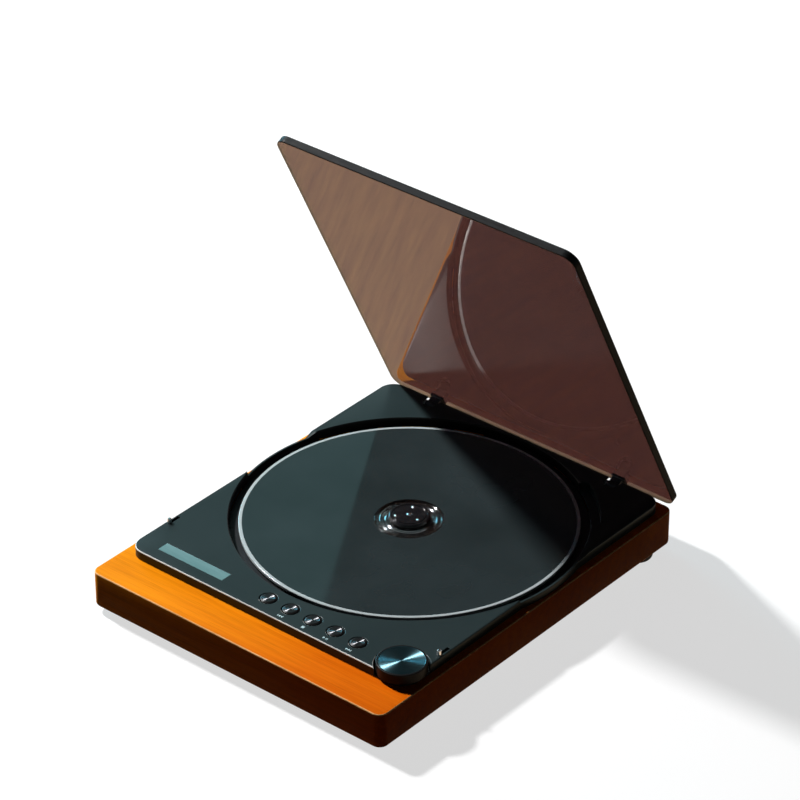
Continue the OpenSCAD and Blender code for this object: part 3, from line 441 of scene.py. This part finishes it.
def clearFinish(spec, common):
    material, tree, shader, coords = surface(spec["name"], {
        "Transmission Weight": spec["clear"], "IOR": common["index"]})
    cloud = tree.noise(coords, common["cloud"])
    dim = tuple(common["dim"] * c for c in spec["colour"])
    low, high = (share * spec["rough"] for share in common["roughSpan"])
    tree.feed(shader.inputs["Base Color"], tree.tones(cloud, (dim, spec["colour"])))
    tree.feed(shader.inputs["Roughness"], tree.between(cloud, low, high))
    return material


boardSpec = {
    "shift": (0.3, 0.3, 0), "repeats": 330.0, "trackWidth": 0.012, "track": (0.06, 0.26, 0.13),
    "greens": [(0.01, 0.1, 0.05), (0.008, 0.08, 0.042)], "rough": (0.32, 0.24), "bump": 2e-5,
}


def boardFinish(spec):
    material, tree, shader, coords = surface("boardGreen", {})
    mapped = tree.add("ShaderNodeMapping", {"Vector": coords, "Location": spec["shift"]})
    tracks = tree.add("ShaderNodeTexBrick", {
        "Vector": mapped.outputs[0], "Scale": spec["repeats"], "Mortar Size": spec["trackWidth"],
        "Color1": spec["greens"][0], "Color2": spec["greens"][1], "Mortar": spec["track"]})
    tree.feed(shader.inputs["Base Color"], tracks.outputs["Color"])
    tree.feed(shader.inputs["Roughness"],
              tree.between(tracks.outputs["Fac"], *spec["rough"], fullSpan))
    tree.feed(shader.inputs["Normal"], tree.bump(tracks.outputs["Fac"], spec["bump"]))
    return material


finishes = {name: plainFinish(name, spec) for name, spec in plainFinishes.items()}
finishes.update({name: turnedFinish(spec, turnedCommon) for name, spec in turnedSpecs.items()})
finishes.update({name: clearFinish(spec, clearCommon) for name, spec in clearSpecs.items()})
finishes["wood"] = woodFinish(woodSpec)
finishes["deck_black"] = deckFinish(deckSpec)
finishes["lid_smoke"] = smokeFinish(smokeSpec)
finishes["board_green"] = boardFinish(boardSpec)
print("finishes made:", len(bpy.data.materials))


# mesh helpers; sharp: the angle in degrees from which an edge shades sharp
def buildMesh(name, verts, faces, sharp=32):
    mesh = bpy.data.meshes.new(name)
    mesh.from_pydata([Vector(v) * mm for v in verts], [], faces)
    bm = bmesh.new()
    bm.from_mesh(mesh)
    bmesh.ops.recalc_face_normals(bm, faces=bm.faces)
    bm.to_mesh(mesh)
    bm.free()
    mesh.shade_smooth()
    mesh.set_sharp_from_angle(angle=math.radians(sharp))
    return mesh


def place(name, mesh, body, materials, slotName, replaced=(), flatFaces=True):
    piece = bpy.data.objects.new(name, mesh)
    scene.collection.objects.link(piece)
    for material in materials:
        mesh.materials.append(material)
    if flatFaces:
        flat = piece.modifiers.new("flatFaces", "WEIGHTED_NORMAL")
        flat.keep_sharp = True
    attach(piece, body)
    if replaced:
        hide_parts(*replaced)
    return piece


onAxis = 1e-6  # a smaller radius than this is the axis
cornerShare = 0.45  # the most of a side that one rounding takes


def fillet(points, steps, closed=True):
    # rounds each (r, z, rounding) point of an outline; points on the axis stay
    done = []
    count = len(points)
    for i, here in enumerate(points):
        p = Vector(here[:2])
        rounding = here[2] if len(here) > 2 else 0
        if rounding <= 0 or p.x < onAxis or (not closed and i in (0, count - 1)):
            done.append((p.x, p.y))
            continue
        a = Vector(points[i - 1][:2]) - p
        b = Vector(points[(i + 1) % count][:2]) - p
        half = a.angle(b) / 2
        back = min(rounding / math.tan(half), cornerShare * a.length, cornerShare * b.length)
        r = back * math.tan(half)
        a.normalize()
        b.normalize()
        centre = p + (a + b).normalized() * (r / math.sin(half))
        start, end = p + a * back - centre, p + b * back - centre
        sweep = start.angle_signed(end)
        for k in range(steps + 1):
            q = centre + Matrix.Rotation(-sweep * k / steps, 2) @ start
            done.append((q.x, q.y))
    return done


def lathe(name, profile, turns, centre=(0, 0), closed=True):
    verts, rows, faces = [], [], []
    for r, z in profile:
        if r < onAxis:
            rows.append([len(verts)] * turns)
            verts.append((centre[0], centre[1], z))
        else:
            rows.append(list(range(len(verts), len(verts) + turns)))
            for k in range(turns):
                a = 2 * math.pi * k / turns
                verts.append((centre[0] + r * math.cos(a), centre[1] + r * math.sin(a), z))
    pairs = list(zip(rows, rows[1:] + rows[:1])) if closed else list(zip(rows, rows[1:]))
    for low, high in pairs:
        for k in range(turns):
            n = (k + 1) % turns
            ring = [low[k], low[n], high[n], high[k]]
            ring = [v for j, v in enumerate(ring) if v != ring[j - 1]]
            if len(ring) > 2:
                faces.append(ring)
    return buildMesh(name, verts, faces)


def roundRect(x0, y0, x1, y1, r, steps):
    corners = ((x1 - r, y1 - r, 0), (x0 + r, y1 - r, 90), (x0 + r, y0 + r, 180), (x1 - r, y0 + r, 270))
    points = []
    for cx, cy, first in corners:
        for k in range(steps + 1):
            a = math.radians(first + 90 * k / steps)
            points.append((cx + r * math.cos(a), cy + r * math.sin(a)))
    return points


def ringFaces(rows, count):
    # four-sided faces between rows of count points each
    faces = []
    for j in range(rows - 1):
        for k in range(count):
            n = (k + 1) % count
            faces.append([j * count + k, j * count + n, (j + 1) * count + n, (j + 1) * count + k])
    return faces


# each kept shape gets its edges broken by this many millimetres
brokenEdges = {
    "wood_plinth": 0.2, "back_cover": 0.15, "deck_plate": 0.1, "disc_well": 0.1,
    "through_screws": 0.1, "cover_screws": 0.08, "floor_screws": 0.08,
    "display_window": 0.06, "display_module": 0.08, "traverse_chassis": 0.12, "chassis_dampers": 0.2,
    "damper_screws": 0.1, "spindle_motor": 0.3, "guide_rods": 0.15, "sled_motor": 0.5,
    "main_board": 0.08, "board_chips": 0.1, "board_screws": 0.1, "battery_pack": 0.3, "ribbon_cable": 0.03,
    "headphone_jack": 0.2, "usb_socket": 0.08, "control_board": 0.08, "tact_switches": 0.12,
    "encoder_body": 0.2, "hinge_bracket_left": 0.12, "hinge_bracket_right": 0.12, "hinge_pins": 0.12,
    "hinge_screws": 0.1, "lid_switch": 0.15, "lid_rest_pin": 0.08, "lid_switch_plunger": 0.08,
    "hinge_arm_left": 0.15, "hinge_arm_right": 0.15, "encoder_plunger": 0.1, "encoder_shaft": 0.15,
    "spindle_shaft": 0.08, "optical_pickup": 0.2, "lens_carrier": 0.15,
    "objective_lens": 0.05, "hub_balls": 0.0,
}

# weld in metres, angles in degrees
edgeSpec = {"weld": 1e-6, "flat": 0.4, "sharp": 30, "bevelFrom": 35, "bevelSteps": 2}


def mergedMesh(name, source, spec):
    # the kept shape's triangles joined into whole faces
    bm = bmesh.new()
    bm.from_mesh(source)
    bmesh.ops.remove_doubles(bm, verts=bm.verts, dist=spec["weld"])
    bmesh.ops.dissolve_limit(bm, angle_limit=math.radians(spec["flat"]), verts=bm.verts, edges=bm.edges)
    bm.verts.index_update()
    mesh = bpy.data.meshes.new(name)
    mesh.from_pydata([v.co.copy() for v in bm.verts], [],
                     [[v.index for v in f.verts] for f in bm.faces])
    bm.free()
    mesh.shade_smooth()
    mesh.set_sharp_from_angle(angle=math.radians(spec["sharp"]))
    return mesh


def brokenEdgePiece(node, width, spec):
    mesh = mergedMesh(node + "_fine", frame["nodes"][node].data, spec)
    piece = place(node + "_fine", mesh, bodyOf[node], [finishes[slotOf[node]]], slotOf[node], [node],
                  flatFaces=False)
    if width:
        bevel = piece.modifiers.new("brokenEdges", "BEVEL")
        bevel.width = width * mm
        bevel.segments = spec["bevelSteps"]
        bevel.limit_method = "ANGLE"
        bevel.angle_limit = math.radians(spec["bevelFrom"])
        bevel.use_clamp_overlap = False
        bevel.harden_normals = True
    return mesh


# painted highlight: the top edge of the wood and the front edge of the deck get a paler finish where light
# catches them; painted shade: the walls of the disc well get a blacker finish
edgeHighlights = {
    "wood_plinth": {"finish": "woodEdgeHighlight", "above": 13.2, "beyond": 62},
    "deck_plate": {"finish": "deckEdgeHighlight", "above": 16.9, "beyond": 70},
}
edgeZone = {"front": -72, "slope": (0.15, 0.97), "wellRadius": 64, "wellLow": 5, "wallSlope": 0.9}


def paintEdgeHighlightAndWellShade(mesh, spec, zone):
    mesh.materials.append(finishes[spec["finish"]])
    mesh.materials.append(finishes["blackSideAndShade"])
    steepest, flattest = zone["slope"]
    for polygon in mesh.polygons:
        middle = polygon.center
        height = min(mesh.vertices[v].co.z for v in polygon.vertices)
        sloped = steepest < polygon.normal.z < flattest
        outside = abs(middle.x) > spec["beyond"] * mm or middle.y < zone["front"] * mm
        inWell = middle.xy.length < zone["wellRadius"] * mm and height > zone["wellLow"] * mm
        # painted highlight: sloped faces on the outer top edges take the paler edge finish
        if sloped and outside and height > spec["above"] * mm:
            polygon.material_index = 1
        # painted shade: walls inside the disc well take the near-black finish
        elif inWell and polygon.normal.z < zone["wallSlope"]:
            polygon.material_index = 2


# share of its thickness that the shaft keeps, so that it clears the flat sides of the motor's bore
slimmed = {"spindle_shaft": 0.965}

for node, width in brokenEdges.items():
    mesh = brokenEdgePiece(node, width, edgeSpec)
    if node in edgeHighlights:
        paintEdgeHighlightAndWellShade(mesh, edgeHighlights[node], edgeZone)
    if node in slimmed:
        mesh.transform(Matrix.Diagonal((slimmed[node], slimmed[node], 1, 1)))
print("edges broken on", len(brokenEdges), "kept shapes")


# lid: thick polished plate, built flat in layers and then swung open about its hinge
lidSpec = {
    "width": 129.8, "tail": 4.35, "reach": 140.15, "low": 4.6, "thick": 3.0,
    "corner": 5.0, "cornerSteps": 16, "edge": 0.4, "edgeSteps": 5, "edgeLean": 0.8,
    "open": 63.6, "hinge": (0, 62.65, 15.0),
}


def makeLid(spec):
    half, edge, steps = spec["width"] / 2, spec["edge"], spec["edgeSteps"]
    low, top = spec["low"], spec["low"] + spec["thick"]
    layers = []
    for k in range(steps + 1):
        a = math.pi / 2 * k / steps
        layers.append((edge * (1 - math.sin(a)), low + edge * (1 - math.cos(a))))
    layers += [(inset, low + top - z) for inset, z in reversed(layers)]
    swing = Matrix.Translation(Vector(spec["hinge"])) @ Matrix.Rotation(math.radians(-spec["open"]), 4, "X")
    verts = []
    for inset, z in layers:
        ring = roundRect(-half + inset, -spec["reach"] + inset, half - inset, spec["tail"] - inset,
                         spec["corner"] - inset, spec["cornerSteps"])
        verts += [swing @ Vector((x, y, z)) for x, y in ring]
    count = len(verts) // len(layers)
    ends = [list(range(count))[::-1], list(range(len(verts) - count, len(verts)))]
    mesh = buildMesh("lid_plate", verts, ends + ringFaces(len(layers), count), sharp=40)
    place("lid_plate", mesh, "lid", [finishes["lid_smoke"], finishes["lidEdgeShade"]], "lid_smoke",
          ["lid_panel"])
    facing = swing.to_3x3() @ Vector((0, 0, 1))
    # the edges take the near-black finish: painted shade with painted glints
    for polygon in mesh.polygons:
        if abs(polygon.normal.dot(facing)) < spec["edgeLean"]:
            polygon.material_index = 1


makeLid(lidSpec)
print("lid made")


# disc: clear body with a dark printed face over a mirror layer
discSpec = {
    "low": 14.6, "thick": 1.2, "hole": 7.5, "rim": 60.0, "turns": 192,
    "printFrom": 12.3, "printTo": 58.75, "printThick": 0.03, "printGap": 0.02, "printLip": 0.05,
    "mirrorFrom": 20.3, "mirrorTo": 58.45, "mirrorDepth": (0.05, 0.09), "rimFrom": 58.55,
    # rings between two radii: one stands out under the disc, two are sunk in its top
    "stackRing": {"start": 16.6, "end": 17.4, "lean": 0.2, "depth": 0.15, "lip": 0, "floor": 0.05},
    "outerRing": {"start": 11.4, "end": 10.35, "lean": 0.25, "depth": 0.15, "lip": 0.4, "floor": 0.4},
    "innerRing": {"start": 9.8, "end": 8.3, "lean": 0.5, "depth": 0.28, "lip": 0.6, "floor": 0.5},
}


def loweredRing(level, start, end, lean, depth, lip, floor):
    lean = math.copysign(lean, end - start)
    return [(start, level, lip), (start + lean, level - depth, floor),
            (end - lean, level - depth, floor), (end, level, lip)]


def layerRing(start, end, low, high, rounding=0):
    return [(start, low, 0), (end, low, 0), (end, high, rounding), (start, high, rounding)]


def makeDisc(spec):
    low, top, turns = spec["low"], spec["low"] + spec["thick"], spec["turns"]
    start, end = spec["printFrom"], spec["printTo"]
    bed, lip, gap = top - spec["printThick"], spec["printLip"], spec["printGap"]
    outline = [
        (spec["hole"], low, 0.15), *loweredRing(low, **spec["stackRing"]),
        (spec["rim"], low, 0.25), (spec["rim"], top, 0.3),
        (end + lip, top, 0.02), (end, bed, 0.01), (start, bed, 0.01), (start - lip, top, 0.02),
        *loweredRing(top, **spec["outerRing"]), *loweredRing(top, **spec["innerRing"]),
        (spec["hole"], top, 0.15),
    ]
    mesh = lathe("disc_body", fillet(outline, 3), turns)
    place("disc_body", mesh, "disc", [finishes["disc_clear"], finishes["discRim"]], "disc_clear",
          ["compact_disc"])
    for polygon in mesh.polygons:
        if polygon.center.xy.length > spec["rimFrom"] * mm:
            polygon.material_index = 1
    face = layerRing(start + gap, end - gap, bed, top, 0.02)
    place("disc_print", lathe("disc_print", fillet(face, 2), turns), "disc",
          [finishes["discPrint"]], "disc_clear")
    shallow, deep = spec["mirrorDepth"]
    mirror = layerRing(spec["mirrorFrom"], spec["mirrorTo"], top - deep, top - shallow)
    place("disc_mirror", lathe("disc_mirror", fillet(mirror, 1), turns), "disc",
          [finishes["discMirror"]], "disc_clear")


makeDisc(discSpec)
print("disc made")


# hub that the disc sits on, with a groove near its rim
hubSpec = {
    "bore": 1.03, "stem": 4.0, "stemLow": 10.6, "flange": 14.0, "flangeLow": 13.9, "flangeTop": 14.55,
    "radius": 7.42, "slopeFrom": 16.9, "top": 17.7, "nose": 6.92, "groove": (5.82, 6.22),
    "grooveLow": 17.35, "turns": 128,
}


def makeHub(s):
    inner, outer = s["groove"]
    outline = [
        (s["bore"], s["stemLow"], 0), (s["stem"], s["stemLow"], 0.1), (s["stem"], s["flangeLow"], 0),
        (s["flange"], s["flangeLow"], 0.12), (s["flange"], s["flangeTop"], 0.12),
        (s["radius"], s["flangeTop"], 0), (s["radius"], s["slopeFrom"], 0.1),
        (s["nose"], s["top"], 0.14), (outer, s["top"], 0.04), (outer, s["grooveLow"], 0.04),
        (inner, s["grooveLow"], 0.04), (inner, s["top"], 0.04), (s["bore"], s["top"], 0.06),
    ]
    mesh = lathe("hub_turned", fillet(outline, 4), s["turns"])
    place("hub_turned", mesh, bodyOf["turntable_hub"], [finishes["hubBlack"]],
          slotOf["turntable_hub"], ["turntable_hub"])


makeHub(hubSpec)
print("hub made")


# knob and push buttons, turned from solid, in one row; only their faces are bright: their sides take a
# black finish, and the black ring round each face is painted shade for the gap round the control
controlRow = -69.7
knobSpec = {
    "x": 54.9, "radius": 8.75, "low": 15.0, "top": 19.0, "shaft": 3.02, "shaftTop": 17.62,
    "rimWidth": 0.75, "rimSlope": 0.2, "faceSink": 0.12, "bright": 8.05, "turns": 128,
}
buttonSpec = {
    "places": {"mode": -4.1, "previous": 5.9, "stop": 15.9, "play": 25.9, "next": 35.9},
    "radius": 2.9, "top": 17.65, "slope": 0.3, "face": 2.25, "faceSlope": 0.1, "faceSink": 0.08,
    "flange": 3.8, "flangeTop": 15.7, "flangeLow": 14.9, "stem": 1.6, "stemLow": 11.4, "turns": 72,
}
leastRise = 0.6  # a face whose normal rises less than this is a side


# sides and the ring round the face go black: the sides are the parts' own black, the ring is painted shade
def blackenSidesAndRims(mesh, x, reach):
    axis = Vector((x, controlRow)) * mm
    for polygon in mesh.polygons:
        if polygon.normal.z < leastRise or (polygon.center.xy - axis).length > reach * mm:
            polygon.material_index = 1


def makeKnob(s):
    r, low, top = s["radius"], s["low"], s["top"]
    face, rim = top - s["faceSink"], r - s["rimWidth"]
    outline = [
        (s["shaft"], low, 0.1), (r, low, 0.4), (r, top, 0.35), (rim, top, 0.1),
        (rim - s["rimSlope"], face, 0.06), (0, face), (0, s["shaftTop"]), (s["shaft"], s["shaftTop"], 0),
    ]
    mesh = lathe("volume_knob_turned", fillet(outline, 6), s["turns"], (s["x"], controlRow))
    place("volume_knob_turned", mesh, "knob", [finishes["knob_aluminium"], finishes["blackSideAndShade"]],
          "knob_aluminium", ["volume_knob"])
    blackenSidesAndRims(mesh, s["x"], s["bright"])


def makeButton(s, name, x):
    r, top, face, sunk = s["radius"], s["top"], s["face"], s["top"] - s["faceSink"]
    outline = [
        (0, s["stemLow"]), (s["stem"], s["stemLow"], 0.2), (s["stem"], s["flangeLow"], 0),
        (s["flange"], s["flangeLow"], 0.1), (s["flange"], s["flangeTop"], 0.1), (r, s["flangeTop"], 0),
        (r, top - s["slope"], 0.12), (face, top, 0.06), (face - s["faceSlope"], sunk, 0.05), (0, sunk),
    ]
    mesh = lathe(name + "_button_turned", fillet(outline, 4, closed=False), s["turns"],
                 (x, controlRow), closed=False)
    place(name + "_button_turned", mesh, name + "_key",
          [finishes["button_aluminium"], finishes["blackSideAndShade"]], "button_aluminium", [name + "_button"])
    blackenSidesAndRims(mesh, x, face)


makeKnob(knobSpec)
for name, x in buttonSpec["places"].items():
    makeButton(buttonSpec, name, x)
print("knob and buttons made")


# generic transport marks printed in front of the buttons
marksSpec = {
    "row": -74.9, "height": 1.1, "deckTop": 17.4, "raise": 0.02, "sink": 0.02,
    # each sign: its kind, where its middle lies beside the button's, its width
    "signs": {
        "previous": [("bar", -1.15, 0.22), ("left", -0.5, 0.9), ("left", 0.5, 0.9)],
        "stop": [("bar", 0, 1.1)],
        "play": [("right", -0.55, 0.95), ("bar", 0.35, 0.22), ("bar", 0.8, 0.22)],
        "next": [("right", -0.5, 0.9), ("right", 0.5, 0.9), ("bar", 1.15, 0.22)],
    },
}


def signOutline(kind, x, y, w, h):
    left, right, low, high = x - w / 2, x + w / 2, y - h / 2, y + h / 2
    if kind == "bar":
        return [(left, low), (right, low), (right, high), (left, high)]
    if kind == "right":
        return [(left, low), (right, y), (left, high)]
    return [(right, high), (left, y), (right, low)]


def makeMark(name, signs, middle, s):
    z0, z1 = s["deckTop"] - s["sink"], s["deckTop"] + s["raise"]
    verts, faces = [], []
    for kind, aside, width in signs:
        outline = signOutline(kind, middle + aside, s["row"], width, s["height"])
        first, n = len(verts), len(outline)
        verts += [(x, y, z) for z in (z0, z1) for x, y in outline]
        faces.append([first + n + k for k in range(n)])
        faces.append([first + k for k in range(n)][::-1])
        faces += [[first + v for v in ring] for ring in ringFaces(2, n)]
    place(name, buildMesh(name, verts, faces), "base", [finishes["print_pale"]], "window_clear")


for name, signs in marksSpec["signs"].items():
    makeMark("mark_" + name, signs, buttonSpec["places"][name], marksSpec)
print("marks printed")


# feet: moulded pads with a shallow hollow under each
feetSpec = {
    "places": [(-54.5, -71.5), (54.5, -71.5), (-58.5, 55), (58.5, 55)], "radius": 6.0, "low": -2.5,
    "top": 0.28, "hollow": (2.6, 2.9), "hollowDepth": 0.25, "taper": 0.4, "taperTop": -1.8, "turns": 64,
}


def makeFeet(spec):
    r, low, top = spec["radius"], spec["low"], spec["top"]
    inner, outer = spec["hollow"]
    roof = low + spec["hollowDepth"]
    outline = [
        (0, roof), (inner, roof, 0.1), (outer, low, 0.1), (r - spec["taper"], low, 0.35),
        (r, spec["taperTop"], 0.5), (r, top, 0.05), (0, top),
    ]
    for k, spot in enumerate(spec["places"]):
        mesh = lathe(f"foot_{k + 1}", fillet(outline, 4), spec["turns"], spot)
        place(f"foot_{k + 1}", mesh, "base", [finishes["foot_rubber"]], "foot_rubber", ["rubber_feet"])


makeFeet(feetSpec)
print("feet made")


# lead screw: a real two-start thread in place of the plain rings
threadSpec = {
    "x": 24.5, "z": 7.6, "outer": 1.5, "core": 1.15, "journal": 0.8, "starts": 2, "lead": 3.0,
    "back": -11.0, "threadBack": -19.9, "threadFront": -63.2, "front": -65.4, "shoulder": 0.4,
    "crest": 2.2, "flank": 6.0, "turns": 40, "step": 0.12,
}


def threadRadius(s, y, around):
    phase = (s["starts"] * (y / s["lead"] - around)) % 1.0
    rise = min(1.0, max(0.0, s["crest"] - s["flank"] * abs(phase - 0.5)))
    return s["core"] + (s["outer"] - s["core"]) * rise


def makeThread(s):
    turns = s["turns"]
    rows = [(s["back"], "journal"), (s["threadBack"] + s["shoulder"], "journal"), (s["threadBack"], "core")]
    y = s["threadBack"] - s["step"]
    while y > s["threadFront"]:
        rows.append((y, "thread"))
        y -= s["step"]
    rows += [(s["threadFront"], "core"), (s["threadFront"] - s["shoulder"], "journal"),
             (s["front"], "journal")]
    verts = []
    for y, kind in rows:
        for k in range(turns):
            a = 2 * math.pi * k / turns
            r = threadRadius(s, y, k / turns) if kind == "thread" else s[kind]
            verts.append((s["x"] + r * math.cos(a), y, s["z"] + r * math.sin(a)))
    faces = ringFaces(len(rows), turns)
    # both ends close on a point in the middle
    backPoint, frontPoint, lastRow = len(verts), len(verts) + 1, len(verts) - turns
    verts += [(s["x"], s["back"], s["z"]), (s["x"], s["front"], s["z"])]
    for k in range(turns):
        n = (k + 1) % turns
        faces += [[backPoint, n, k], [frontPoint, lastRow + k, lastRow + n]]
    mesh = buildMesh("lead_screw_thread", verts, faces, sharp=50)
    place("lead_screw_thread", mesh, "screw", [finishes["screw_brass"]], "screw_brass", ["lead_screw"])


makeThread(threadSpec)
print("lead screw made")
